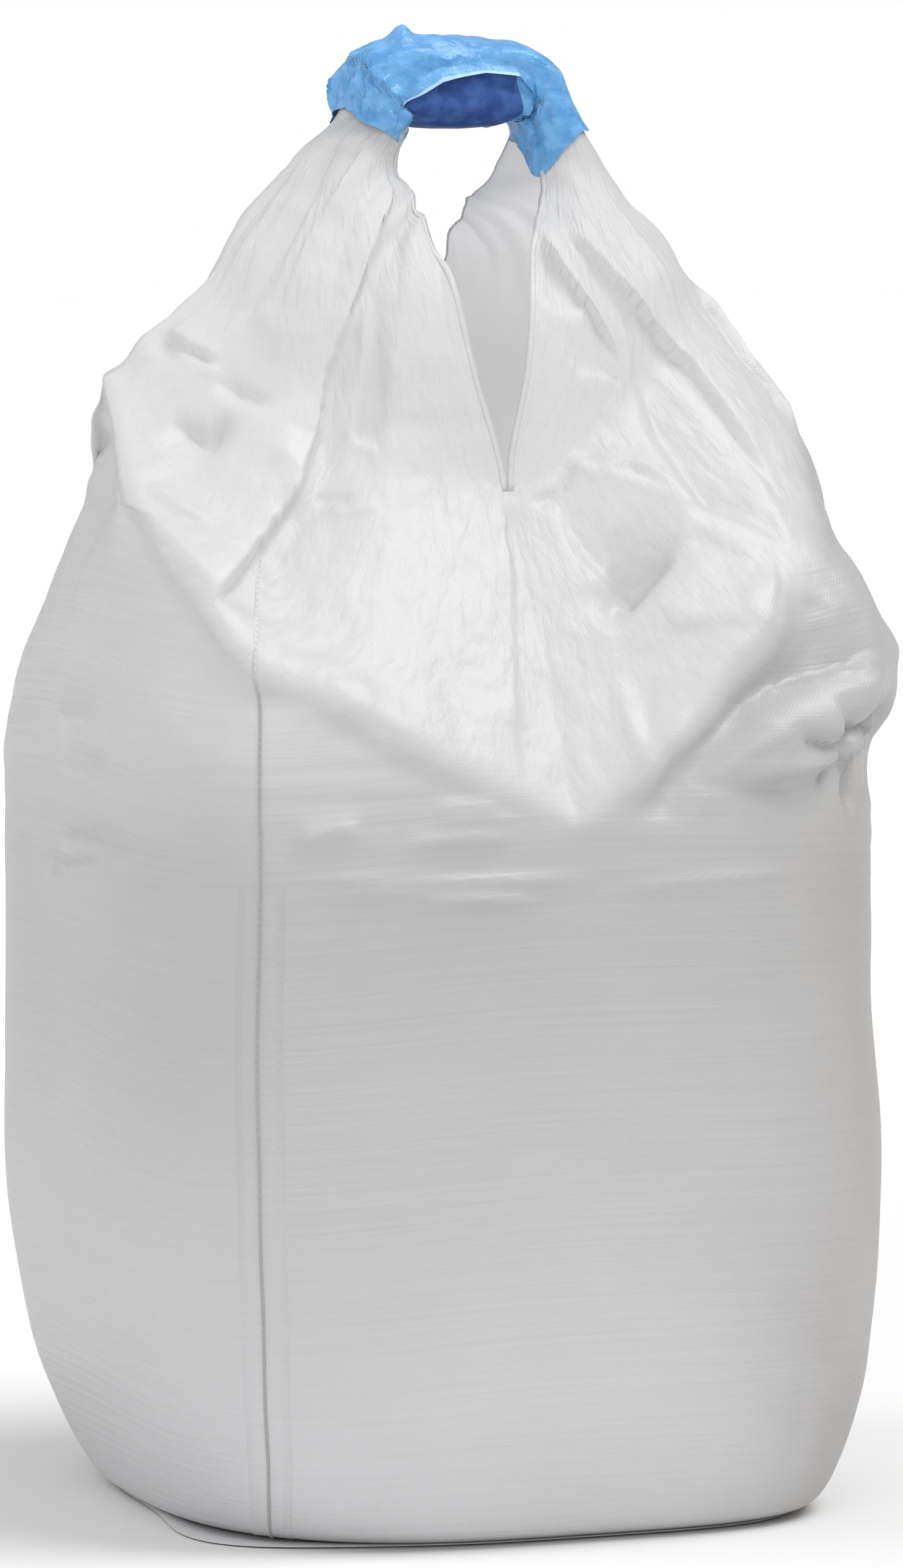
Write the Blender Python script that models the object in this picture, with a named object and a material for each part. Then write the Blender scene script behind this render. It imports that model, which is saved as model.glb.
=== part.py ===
"""A single-loop bulk bag of woven polypropylene, filled with crushed gravel.

The bag stands on a level floor, with +Z up and the origin on the floor under its middle.
Its lifting loop runs along X. The front, with one of the two slits that part the loop's
legs, faces -Y, and the other slit faces +Y. All lengths are in metres.
"""
import math
from collections import namedtuple

import bpy
import numpy as np

# Sheets and gaps
FABRIC = 0.004  # tube wall
PANEL = 0.004  # sewn base panel
HEM = 0.006  # how far the panel's hem shows round the tube
WRAP = 0.006  # sleeve round the loop
GAP = 0.0004  # between pieces that touch

# Filled body
HALF = 0.485  # half the width between flat faces
BASE = 0.420  # half the width of the base panel
GRAVEL_EDGE_Z = 0.860  # where the gravel leaves the walls
GRAVEL_RISE = 0.16  # how far the heap rises above that edge
FLOOR_Z = PANEL + GAP

# Top of the bag
FOLD_FRONT_Z = 0.890  # lowest points of the fold where the walls lean in
FOLD_SIDE_Z = 1.385  # highest points of that fold, at the two sides
SLIT_Z = 1.255  # lower end of the slits

# Gathered loop
LOOP_Z = 1.752  # centreline at its middle
LOOP_Y = -0.015  # it hangs a little to the front
BUNDLE_DEEP = 0.128  # front to back, inside the sleeve
BUNDLE_POWER = 2.5  # roundness of its section: 2 is an ellipse
FRONT_CORNER = 0.75 * math.pi  # where the bundle's inner side begins

# Mesh
QUARTER = 12  # columns from the middle of one face to the next
INNER = 6  # points on a leg's inner side, between its two edges
HEAP_RINGS = 4

# A section of the tube: heights at the front and side middles, reach to each side,
# roundness of the left and right corners, and half the width of the slit
Ring = namedtuple("Ring", "middle_z side_z left right front back power_left power_right slit")


def level(z, left, right, front, back, power_left, power_right):
    """A level section of the filled body, whose reaches are given from half its width."""
    return Ring(z, z, HALF + left, HALF + right, HALF + front, HALF + back, power_left, power_right, 0)


BODY = [
    level(FLOOR_Z, BASE - HALF - 0.022, BASE - HALF - 0.032, BASE - HALF - 0.010, BASE - HALF, 2.6, 4.4),
    level(0.030, -0.069, -0.068, -0.053, -0.043, 2.8, 4.2),
    level(0.090, -0.041, -0.038, -0.030, -0.020, 3.0, 3.9),
    level(0.200, -0.009, -0.012, -0.010, -0.006, 3.4, 3.8),
    level(0.420, 0.014, 0.002, 0.003, 0.008, 3.7, 3.7),
    level(0.650, 0.009, -0.009, -0.006, 0.003, 3.7, 3.6),
    level(GRAVEL_EDGE_Z, 0.013, -0.007, -0.010, 0.0, 3.6, 3.5),
]
TENT = [
    Ring(FOLD_FRONT_Z - 0.022, 0.955, 0.503, 0.478, 0.472, 0.480, 3.5, 3.4, 0),
    Ring(FOLD_FRONT_Z - 0.015, 1.060, 0.503, 0.486, 0.470, 0.476, 3.3, 3.8, 0),
    Ring(FOLD_FRONT_Z - 0.009, 1.190, 0.470, 0.503, 0.468, 0.472, 2.6, 4.4, 0),
    Ring(FOLD_FRONT_Z - 0.004, 1.300, 0.428, 0.470, 0.464, 0.468, 2.4, 3.2, 0),
    Ring(FOLD_FRONT_Z, FOLD_SIDE_Z, 0.440, 0.438, 0.460, 0.462, 2.3, 2.5, 0),
    Ring(1.01, 1.415, 0.406, 0.412, 0.388, 0.388, 2.4, 2.4, 0),
    Ring(1.13, 1.460, 0.352, 0.376, 0.308, 0.308, 2.2, 2.2, 0),
    Ring(SLIT_Z, 1.505, 0.303, 0.327, 0.235, 0.225, 2.0, 2.0, 0),
]
LEGS = [
    Ring(1.40, 1.558, 0.268, 0.292, 0.210, 0.190, 2.0, 2.0, 0.032),
    Ring(1.54, 1.610, 0.222, 0.238, 0.155, 0.130, 2.0, 2.0, 0.060),
]

# A section of the loop: its centre on either side, its height, how far it has turned
# from upright, in degrees, and how thick the gathered fabric is on either side
Turn = namedtuple("Turn", "left right z lean thick_left thick_right")
LOOP = [
    Turn(0.134, 0.150, 1.645, 14, 0.104, 0.118),
    Turn(0.103, 0.120, 1.695, 24, 0.064, 0.082),
    Turn(0.082, 0.088, 1.732, 52, 0.076, 0.082),
    Turn(0.046, 0.050, LOOP_Z, 90, 0.090, 0.090),
    Turn(0.0, 0.0, LOOP_Z, 90, 0.090, 0.090),
]
SLEEVE_FROM = {-1: 1, 1: 0}  # the section where the sleeve begins, on either side

# The origin is under the middle of the box round the bag
SECTIONS = BODY + TENT
MIDDLE_X = (max(r.right for r in SECTIONS) - max(r.left for r in SECTIONS)) / 2
MIDDLE_Y = (max(r.back for r in SECTIONS) - max(r.front for r in SECTIONS)) / 2


def quarter(width, depth, power):
    """Points from (0, depth) to (width, 0) on a superellipse, evenly spaced."""
    angle = np.linspace(0, math.pi / 2, 400)
    x = width * np.sin(angle) ** (2 / power)
    y = depth * np.clip(np.cos(angle), 0, 1) ** (2 / power)
    along = np.concatenate([[0], np.cumsum(np.hypot(np.diff(x), np.diff(y)))])
    at = np.linspace(0, along[-1], QUARTER + 1)
    return np.interp(at, along, x), np.interp(at, along, y)


def half_section(ring, side):
    """A section's points from its front middle, round one side, to its back middle."""
    reach = ring.left if side < 0 else ring.right
    power = ring.power_left if side < 0 else ring.power_right
    front_x, front_y = quarter(reach - ring.slit, ring.front, power)
    back_x, back_y = quarter(reach - ring.slit, ring.back, power)
    x = np.concatenate([front_x, back_x[-2::-1]])
    y = np.concatenate([-front_y, back_y[-2::-1]])
    climb = (1 - np.abs(np.linspace(-1, 1, len(x)))) ** 1.25
    z = ring.middle_z + (ring.side_z - ring.middle_z) * climb
    return np.stack([side * (ring.slit + x), y, z], axis=1)


def whole_section(ring):
    """A closed section, counterclockwise from the front middle as seen from above."""
    right = half_section(ring, 1)
    left = half_section(ring, -1)
    return np.concatenate([right, left[-2:0:-1]])


def leg_section(ring, side):
    """A leg's closed section: round its outside from front to back, then back inside."""
    outside = half_section(ring, side)
    share = np.linspace(0, 1, INNER + 2)[1:-1, None]
    inside = outside[-1] + (outside[0] - outside[-1]) * share
    return np.concatenate([outside, inside])


def loop_section(turn, side, outward=0.0):
    """The loop's section at a turn, in the order of a leg's section, grown by outward."""
    centre = np.array([side * (turn.left if side < 0 else turn.right), LOOP_Y, turn.z])
    thick = (turn.thick_left if side < 0 else turn.thick_right) / 2 + outward
    deep = BUNDLE_DEEP / 2 + outward
    lean = math.radians(turn.lean)
    radial = np.array([side * math.cos(lean), 0, math.sin(lean)])
    outside = np.linspace(-FRONT_CORNER, FRONT_CORNER, 2 * QUARTER + 1)
    inside = np.linspace(FRONT_CORNER, 2 * math.pi - FRONT_CORNER, INNER + 2)[1:-1]
    angle = np.concatenate([outside, inside])
    power = 2 / BUNDLE_POWER
    across = thick * np.sign(np.cos(angle)) * np.abs(np.cos(angle)) ** power
    along_y = deep * np.sign(np.sin(angle)) * np.abs(np.sin(angle)) ** power
    return centre + across[:, None] * radial + along_y[:, None] * np.array([0, 1, 0])


def inset(points, distance):
    """A level closed section moved inward by a distance in its own plane."""
    tangent = np.roll(points, -1, axis=0) - np.roll(points, 1, axis=0)
    normal = np.stack([tangent[:, 1], -tangent[:, 0], 0 * tangent[:, 0]], axis=1)
    return points - distance * normal / np.linalg.norm(normal, axis=1, keepdims=True)


def body_walls(depth):
    """The body's level sections at a depth under the outer surface, from the bottom up."""
    reach = [(r.left + r.right + r.front + r.back) / 4 for r in BODY]
    slope = np.gradient(reach, [r.middle_z for r in BODY])
    return [inset(whole_section(r), depth * math.hypot(1, s)) for r, s in zip(BODY, slope)]


def heap(rim, drop):
    """The rings of the heaped top inside a rim, lowered by drop, and its peak."""
    rings = []
    for share in np.linspace(1, 0, HEAP_RINGS + 1)[:-1]:
        ring = rim * np.array([share, share, 1])
        ring[:, 2] += GRAVEL_RISE * (1 - share ** 2) - drop
        rings.append(ring)
    return rings, np.array([0, 0, GRAVEL_EDGE_Z + GRAVEL_RISE - drop])


class Skin:
    """Points and faces of one closed body."""

    def __init__(self):
        self.points = []
        self.faces = []

    def add(self, points):
        start = len(self.points)
        self.points.extend(np.atleast_2d(points).tolist())
        return list(range(start, len(self.points)))

    def strip(self, lower, upper, inward=False):
        """Triangles between two closed rings, facing out of them, or inward."""
        for i in range(len(lower)):
            j = (i + 1) % len(lower)
            for face in ((lower[i], lower[j], upper[j]), (lower[i], upper[j], upper[i])):
                self.faces.append(face[::-1] if inward else face)

    def strips(self, rings, inward=False):
        for lower, upper in zip(rings, rings[1:]):
            self.strip(lower, upper, inward)

    def fan(self, ring, peak, inward=False):
        for i in range(len(ring)):
            face = (ring[i], ring[(i + 1) % len(ring)], peak)
            self.faces.append(face[::-1] if inward else face)

    def make(self, name, material):
        mesh = bpy.data.meshes.new(name)
        mesh.from_pydata(np.array(self.points) - [MIDDLE_X, MIDDLE_Y, 0], [], self.faces)
        mesh.shade_smooth()
        mesh.materials.append(material)
        thing = bpy.data.objects.new(name, mesh)
        bpy.context.scene.collection.objects.link(thing)
        return thing


def material(name, colour, roughness):
    made = bpy.data.materials.new(name)
    made.use_nodes = True
    shader = made.node_tree.nodes["Principled BSDF"]
    shader.inputs["Base Color"].default_value = (*colour, 1)
    shader.inputs["Roughness"].default_value = roughness
    shader.inputs["Metallic"].default_value = 0
    made.diffuse_color = (*colour, 1)
    return made


def in_left_order(ring):
    """A right leg's ring in the order that the left leg's rings have, or the reverse."""
    outside, inside = ring[: 2 * QUARTER + 1], ring[2 * QUARTER + 1 :]
    return outside[::-1] + inside[::-1]


def side_rings(skin, side, sections):
    """Rings of one leg or of one half of the loop, in the order that faces outward."""
    rings = [skin.add(points) for points in sections]
    return rings if side > 0 else [in_left_order(ring) for ring in rings]


def bag_fabric():
    """Tube, tent, legs and loop in one, with a cavity for the gravel, open at the bottom."""
    skin = Skin()
    walls = [skin.add(p) for p in body_walls(0)]
    tent = [skin.add(whole_section(r)) for r in TENT]
    skin.strips(walls + tent)

    # The two legs part at the top section, over a saddle between the slits' lower ends
    split = tent[-1]
    right_half = split[: 2 * QUARTER + 1]
    left_half = [split[0]] + split[: 2 * QUARTER - 1 : -1]
    share = np.linspace(0, 1, INNER + 2)[1:-1, None]
    back, front = (np.array(skin.points[right_half[i]]) for i in (-1, 0))
    saddle = skin.add(back + (front - back) * share)
    middle = skin.add(loop_section(LOOP[-1], 1))
    for side, half in ((1, right_half), (-1, left_half)):
        root = half + saddle
        sections = [leg_section(r, side) for r in LEGS]
        sections += [loop_section(t, side) for t in LOOP[:-1]]
        ends = (root, middle) if side > 0 else (in_left_order(root), in_left_order(middle))
        skin.strips([ends[0]] + side_rings(skin, side, sections) + [ends[1]])

    # The cavity, from the open bottom to the underside of the heap's cover
    cavity = [skin.add(p) for p in body_walls(FABRIC)]
    rings, peak = heap(np.array([skin.points[i] for i in cavity[-1]]), 0)
    cavity += [skin.add(p) for p in rings[1:]]
    skin.strips(cavity, inward=True)
    skin.fan(cavity[-1], skin.add(peak)[0], inward=True)
    skin.strip(cavity[0], walls[0])
    return skin.make("bag_fabric", material("woven_polypropylene", (0.80, 0.81, 0.82), 0.55))


def gravel_fill():
    """The gravel as one core that fills the cavity."""
    skin = Skin()
    walls = body_walls(FABRIC + GAP)
    rings, peak = heap(walls[-1], GAP)
    rings = [skin.add(p) for p in walls[:-1] + rings]
    skin.strips(rings)
    skin.fan(rings[-1], skin.add(peak)[0])
    skin.faces.append(tuple(rings[0][::-1]))
    return skin.make("gravel_fill", material("crushed_stone", (0.36, 0.34, 0.31), 0.9))


def base_panel():
    """The square panel sewn under the tube, with its hem."""
    skin = Skin()
    outline = inset(whole_section(BODY[0]), -HEM)
    top = skin.add(outline * np.array([1, 1, 0]) + np.array([0, 0, PANEL]))
    bottom = skin.add(outline * np.array([1, 1, 0]))
    skin.strip(bottom, top)
    skin.faces.append(tuple(top))
    skin.faces.append(tuple(bottom[::-1]))
    return skin.make("base_panel", material("base_fabric", (0.74, 0.75, 0.76), 0.6))


def loop_sleeve():
    """The blue fabric sleeve wrapped round the top of the loop."""
    skin = Skin()
    middles = [skin.add(loop_section(LOOP[-1], 1, out)) for out in (GAP, GAP + WRAP)]
    for side in (1, -1):
        turns = LOOP[SLEEVE_FROM[side] : -1]
        ends = []
        for out, middle in zip((GAP, GAP + WRAP), middles):
            rings = side_rings(skin, side, [loop_section(t, side, out) for t in turns])
            last = middle if side > 0 else in_left_order(middle)
            skin.strips(rings + [last], inward=out == GAP)
            ends.append(rings[0])
        skin.strip(*ends)
    return skin.make("loop_sleeve", material("blue_sleeve", (0.10, 0.32, 0.72), 0.5))


def main():
    for thing in list(bpy.data.objects):
        bpy.data.objects.remove(thing)
    base_panel()
    gravel_fill()
    bag_fabric()
    loop_sleeve()


main()
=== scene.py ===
"""Looks for a single-loop bulk bag of woven polypropylene, filled with crushed gravel."""

import math
from collections import namedtuple

import bmesh
import bpy
import numpy as np
from mathutils import Matrix, Vector, noise


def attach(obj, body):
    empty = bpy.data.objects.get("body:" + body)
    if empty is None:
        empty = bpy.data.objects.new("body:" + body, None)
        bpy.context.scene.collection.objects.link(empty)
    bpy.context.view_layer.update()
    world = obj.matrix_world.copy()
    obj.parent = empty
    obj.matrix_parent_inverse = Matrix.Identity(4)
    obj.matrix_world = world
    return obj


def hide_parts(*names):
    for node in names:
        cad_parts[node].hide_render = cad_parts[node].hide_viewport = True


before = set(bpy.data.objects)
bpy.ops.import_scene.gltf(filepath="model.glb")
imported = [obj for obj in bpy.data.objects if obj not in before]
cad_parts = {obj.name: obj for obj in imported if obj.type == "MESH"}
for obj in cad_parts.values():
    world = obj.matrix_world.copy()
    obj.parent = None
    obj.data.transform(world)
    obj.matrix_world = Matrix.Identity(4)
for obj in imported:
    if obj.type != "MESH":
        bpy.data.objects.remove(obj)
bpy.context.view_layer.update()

# The bag's form in metres, in sections like those of its solid
HALF = 0.485  # half the width between flat faces
GRAVEL_EDGE_Z = 0.860  # where the gravel leaves the walls
GRAVEL_RISE = 0.16  # how far the heap rises above that edge
FLOOR_Z = 0.0044  # lower end of the tube
FOLD_FRONT_Z = 0.890  # lowest points of the fold where the walls lean in
FOLD_SIDE_Z = 1.385  # highest points of that fold, at the two sides
SLIT_Z = 1.255  # lower end of the slits
LOOP_Z = 1.745  # the loop's centreline at its middle
LOOP_Y = -0.015  # it hangs a little to the front
BUNDLE_DEEP = 0.128  # front to back, inside the sleeve
BUNDLE_POWER = 2.5  # roundness of its section: 2 is an ellipse
FRONT_CORNER = 0.75 * math.pi  # where the bundle's inner side begins
MIDDLE = np.array([0, 0.0025, 0])  # the frame's origin, in the sections' own coordinates
HALF_GIRTH = 1.8  # of the tube when it is cut open and laid flat

# Roundness of a section's corners: front left, front right, back left, back right
Powers = namedtuple("Powers", "front_left front_right back_left back_right")
# A section has heights at its front and side middles, a reach to each side, half the width
# of the slit, and a lean: its left reach shrinks by that for each metre above LEAN_FROM
Ring = namedtuple("Ring", "middle_z side_z left right front back powers slit lean", defaults=(0,))
LEAN_FROM = 0.955
LEAN = 0.147
# How far a section has climbed at shares of the way from front or back middle to its side
WAY = [0, 0.09, 0.23, 0.32, 0.44, 0.50, 0.61, 0.76, 1]
WAY_AT = np.array(WAY)
BACK_CLIMB = [share**1.25 for share in WAY]
CLIMB = Powers(
    [0, 0.060, 0.147, 0.219, 0.288, 0.345, 0.505, 0.680, 1],
    [0, 0.060, 0.215, 0.340, 0.485, 0.545, 0.645, 0.785, 1],
    BACK_CLIMB,
    BACK_CLIMB,
)


def level(z, left, right, front, back, power_left, power_right):
    """A level section of the filled body, whose reaches are given from half its width."""
    powers = Powers(power_left, power_right, power_left, power_right)
    return Ring(z, z, HALF + left, HALF + right, HALF + front, HALF + back, powers, 0)


ROUND = Powers(2.0, 2.0, 2.0, 2.0)  # an ellipse
BODY = [
    level(FLOOR_Z, -0.102, -0.112, -0.094, -0.080, 2.6, 4.4),
    level(0.013, -0.080, -0.083, -0.065, -0.055, 2.7, 4.3),
    level(0.030, -0.069, -0.068, -0.053, -0.043, 2.8, 4.2),
    level(0.090, -0.041, -0.038, -0.030, -0.020, 3.0, 3.9),
    level(0.200, -0.009, -0.012, -0.010, -0.006, 3.4, 3.8),
    level(0.420, 0.014, 0.002, 0.003, 0.008, 3.7, 3.7),
    level(0.650, 0.009, -0.009, -0.006, 0.003, 3.7, 3.6),
    level(GRAVEL_EDGE_Z - 0.010, 0.013, -0.007, -0.010, 0.0, 3.6, 3.5),
]
TENT = [
    Ring(FOLD_FRONT_Z - 0.026, 0.955, 0.503, 0.472, 0.472, 0.480, Powers(3.6, 3.5, 3.4, 3.4), 0, LEAN),
    Ring(FOLD_FRONT_Z - 0.022, 1.060, 0.503, 0.503, 0.470, 0.476, Powers(3.6, 4.0, 3.0, 4.0), 0, LEAN),
    Ring(FOLD_FRONT_Z - 0.018, 1.190, 0.500, 0.483, 0.468, 0.472, Powers(3.5, 3.9, 2.50, 3.6), 0, LEAN),
    Ring(FOLD_FRONT_Z - 0.014, 1.300, 0.502, 0.460, 0.466, 0.468, Powers(3.4, 3.4, 2.15, 2.9), 0, LEAN),
    Ring(
        FOLD_FRONT_Z - 0.010, FOLD_SIDE_Z, 0.514, 0.424, 0.463, 0.462,
        Powers(3.2, 2.9, 1.95, 2.4), 0, LEAN,
    ),
    Ring(1.01, 1.415, 0.406, 0.402, 0.388, 0.388, Powers(2.5, 2.6, 2.4, 2.3), 0),
    Ring(1.13, 1.460, 0.352, 0.370, 0.308, 0.308, Powers(2.2, 2.2, 2.2, 2.1), 0),
    Ring(SLIT_Z, 1.505, 0.303, 0.323, 0.235, 0.225, ROUND, 0),
]
LEGS = [
    Ring(1.40, 1.558, 0.268, 0.292, 0.210, 0.190, ROUND, 0.032),
    Ring(1.54, 1.610, 0.222, 0.238, 0.155, 0.130, ROUND, 0.060),
]
# The loop's sections at turns of it: distance to either side, height, lean in degrees
# from level, and thickness on either side
Turn = namedtuple("Turn", "left right z lean thick_left thick_right")
LOOP = [
    Turn(0.131, 0.146, 1.645, 14, 0.104, 0.106),
    Turn(0.103, 0.130, 1.693, 24, 0.068, 0.068),
    Turn(0.092, 0.110, 1.732, 50, 0.080, 0.078),
    Turn(0.052, 0.066, LOOP_Z, 84, 0.100, 0.100),
    Turn(0.0, 0.0, LOOP_Z, 90, 0.104, 0.104),
]
IN_SLEEVE = [-0.001, -0.004, -0.008, -0.010, -0.010]  # how much the cloth is drawn in there
LAST_WHOLE = len(BODY) + len(TENT) - 1  # index of the section where the slits begin
FIRST_SLEEVED = LAST_WHOLE + len(LEGS) + 2  # index of the section where the sleeve begins
RIDGE = len(BODY) + 4  # index of the section on the shoulder's ridge

# Mesh: columns in a quarter of the tube, and rows from the bottom to the slits and on
FRONT_COLUMNS, BACK_COLUMNS = 118, 84
ROWS_FOOT, ROWS_BODY, ROWS_HIGH = 8, 32, 118
FOOT_SHARE, BODY_SHARE = 0.05, 0.52  # of the way up to the slits
ROWS_LEG, ROWS_LOOP = 54, 14
SLIT_ROW = ROWS_FOOT + ROWS_BODY + ROWS_HIGH
STEPS = 40  # between two sections
SAMPLES = 450  # spread evenly over a column
BLUR, BLUR_REACH = 2.3, 9  # in samples
# Columns run from the front middle (-1) round one side (0) to the back middle (1)
FRONT_T = np.linspace(-1, 0, FRONT_COLUMNS, endpoint=False)
BACK_T = np.linspace(0, 1, BACK_COLUMNS + 1)
T = np.concatenate([FRONT_T, BACK_T])


def smooth_step(values, low, high):
    x = np.clip((values - low) / (high - low), 0, 1)
    return x * x * (3 - 2 * x)


def running_length(points):
    """Length from the first point to each point, in metres."""
    return np.concatenate([[0], np.cumsum(np.linalg.norm(np.diff(points, axis=0), axis=1))])


def unit(vectors, least=1e-12):
    return vectors / np.maximum(np.linalg.norm(vectors, axis=1, keepdims=True), least)


def pchip(x, y, at):
    """Cubic curves through y (along its first axis) at x that never overshoot."""
    h = np.diff(x).reshape((-1,) + (1,) * (y.ndim - 1))
    step = np.diff(y, axis=0) / h
    w1, w2 = 2 * h[1:] + h[:-1], h[1:] + 2 * h[:-1]
    same = step[:-1] * step[1:] > 0
    safe = np.where(same, step[:-1] * step[1:], 1)
    slope = np.where(same, (w1 + w2) * safe / np.where(same, w1 * step[1:] + w2 * step[:-1], 1), 0)
    slope = np.concatenate([step[:1], slope, step[-1:]])
    i = np.clip(np.searchsorted(x, at, side="right") - 1, 0, len(x) - 2)
    hi = h[i]
    u = ((at - x[i]).reshape(hi.shape)) / hi
    return (
        y[i] * (1 + 2 * u) * (1 - u) ** 2
        + y[i + 1] * u**2 * (3 - 2 * u)
        + slope[i] * hi * u * (1 - u) ** 2
        - slope[i + 1] * hi * u**2 * (1 - u)
    )


def quarter(width, depth, power, share):
    """Points on a superellipse quarter at shares of its length from (0, depth)."""
    angle = np.linspace(0, math.pi / 2, 400)
    x = width * np.sin(angle) ** (2 / power)
    y = depth * np.clip(np.cos(angle), 0, 1) ** (2 / power)
    along = np.concatenate([[0], np.cumsum(np.hypot(np.diff(x), np.diff(y)))])
    at = share * along[-1]
    return np.interp(at, along, x), np.interp(at, along, y)


def half_section(ring, side, t):
    """A section's points from its front middle (t -1), round one side, to the back (t 1)."""
    first = 0 if side < 0 else 1
    reach = (ring.left, ring.right)[first]
    front_power, back_power = ring.powers[first::2]
    front_climb, back_climb = CLIMB[first::2]
    front = t < 0
    x, y = np.zeros_like(t), np.zeros_like(t)
    x[front], y[front] = quarter(reach - ring.slit, ring.front, front_power, 1 + t[front])
    x[~front], y[~front] = quarter(reach - ring.slit, ring.back, back_power, 1 - t[~front])
    y[front] *= -1
    way = 1 - np.abs(t)
    climbs = [pchip(WAY_AT, np.array(climb), way) for climb in (front_climb, back_climb)]
    z = ring.middle_z + (ring.side_z - ring.middle_z) * np.where(front, *climbs)
    if side < 0:
        x = x * (1 - ring.lean * np.clip(z - LEAN_FROM, 0, None) / reach)
    return np.stack([side * (ring.slit + x), y, z], axis=1)


def loop_section(turn, side, angle, outward=0.0):
    """The loop's section at a turn, at angles from its outer side, grown by outward."""
    centre = np.array([side * (turn.left if side < 0 else turn.right), LOOP_Y, turn.z])
    thick = (turn.thick_left if side < 0 else turn.thick_right) / 2 + outward
    deep = BUNDLE_DEEP / 2 + outward
    lean = math.radians(turn.lean)
    radial = np.array([side * math.cos(lean), 0, math.sin(lean)])
    power = 2 / BUNDLE_POWER
    across = thick * np.sign(np.cos(angle)) * np.abs(np.cos(angle)) ** power
    along_y = deep * np.sign(np.sin(angle)) * np.abs(np.sin(angle)) ** power
    return centre + across[:, None] * radial + along_y[:, None] * np.array([0, 1, 0])


def section_places(sections):
    """Mean length along the columns from the first section to each."""
    steps = np.linalg.norm(np.diff(sections, axis=0), axis=2).mean(axis=1)
    return np.concatenate([[0], np.cumsum(steps)])


def lengths(points):
    """Length along each column from its first row."""
    step = np.linalg.norm(np.diff(points, axis=0), axis=2)
    return np.concatenate([np.zeros((1, step.shape[1])), np.cumsum(step, axis=0)])


def at_lengths(points, wanted):
    """Columns read at wanted lengths along them, rows by columns."""
    along = lengths(points)
    out = np.empty(wanted.shape + (3,))
    for c in range(points.shape[1]):
        for k in range(3):
            out[:, c, k] = np.interp(wanted[:, c], along[:, c], points[:, c, k])
    return out


def blurred(rows):
    """A short blur along each column, which leaves its ends in place."""
    weights = np.exp(-0.5 * (np.arange(-BLUR_REACH, BLUR_REACH + 1) / BLUR) ** 2)
    weights /= weights.sum()
    before = 2 * rows[:1] - rows[BLUR_REACH:0:-1]
    after = 2 * rows[-1:] - rows[-2 : -BLUR_REACH - 2 : -1]
    padded = np.concatenate([before, rows, after])
    return sum(w * padded[i : i + len(rows)] for i, w in enumerate(weights))


def half_cloth(side):
    """One half of the cloth before its folds: rows by columns of points, each point's length
    up the cloth, and the length up it to the shoulder's ridge in each column."""
    sections = [half_section(ring, side, T) for ring in BODY + TENT + LEGS]
    for turn, grown in zip(LOOP, IN_SLEEVE):
        sections.append(loop_section(turn, side, T * FRONT_CORNER, grown))
    sections = np.array(sections)
    at = section_places(sections)
    dense_at = [np.linspace(a, b, STEPS, endpoint=False) for a, b in zip(at, at[1:])]
    dense = pchip(at, sections, np.concatenate(dense_at + [[at[-1]]]))
    along = lengths(dense)
    # The blur rounds the shoulder, and shortens each column a little
    even = np.linspace(0, 1, SAMPLES)[:, None] * along[-1]
    smooth = blurred(at_lengths(dense, even))
    scale = lengths(smooth)[-1] / along[-1]
    to_slit, to_sleeve, to_end = (
        along[row] * scale for row in (STEPS * LAST_WHOLE, STEPS * FIRST_SLEEVED, -1)
    )
    share = np.concatenate(
        [
            np.linspace(0, FOOT_SHARE, ROWS_FOOT, endpoint=False),
            np.linspace(FOOT_SHARE, BODY_SHARE, ROWS_BODY, endpoint=False),
            np.linspace(BODY_SHARE, 1, ROWS_HIGH, endpoint=False),
        ]
    )
    leg_share = np.linspace(0, 1, ROWS_LEG, endpoint=False)[:, None]
    loop_share = np.linspace(0, 1, ROWS_LOOP)[:, None]
    up = np.concatenate(
        [
            share[:, None] * to_slit,
            to_slit + leg_share * (to_sleeve - to_slit),
            to_sleeve + loop_share * (to_end - to_sleeve),
        ]
    )
    return at_lengths(smooth, up), up, along[STEPS * RIDGE] * scale


def grid_faces(number, around=False):
    """Quads between the rows and columns of a grid of vertex numbers, as rows of four.

    They close round its columns where around is true."""
    if around:
        number = np.concatenate([number, number[:, :1]], axis=1)
    corners = [number[:-1, :-1], number[:-1, 1:], number[1:, 1:], number[1:, :-1]]
    return np.stack(corners, axis=-1).reshape(-1, 4)


def numbered(rows, columns):
    return np.arange(rows * columns).reshape(rows, columns)


def vertex_normals(points, quads):
    """Normals of a mesh of quads at its points, weighted by area."""
    faces = np.cross(
        points[quads[:, 2]] - points[quads[:, 0]], points[quads[:, 3]] - points[quads[:, 1]]
    )
    out = np.zeros_like(points)
    for k in range(4):
        np.add.at(out, quads[:, k], faces)
    return unit(out)


def make(name, points, faces, *materials):
    """A smooth mesh piece on the body, with the given materials."""
    mesh = bpy.data.meshes.new(name)
    mesh.from_pydata(np.asarray(points).tolist(), [], faces)
    mesh.shade_smooth()
    for one in materials:
        mesh.materials.append(one)
    thing = bpy.data.objects.new(name, mesh)
    bpy.context.scene.collection.objects.link(thing)
    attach(thing, "root")
    return thing


def mark_hollow(mesh, above_ridge, t):
    """Marks where no gravel lies behind the cloth, and how much light comes through it."""
    hollow = smooth_step(above_ridge, -0.03, 0.05)
    lit = hollow * (0.25 + 0.35 * smooth_step(t, 0.1, 0.5))
    for name, values in (("hollow", hollow), ("light_through", lit)):
        attribute = mesh.attributes.new(name, "FLOAT", "POINT")
        attribute.data.foreach_set("value", values.astype(np.float32))


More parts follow.
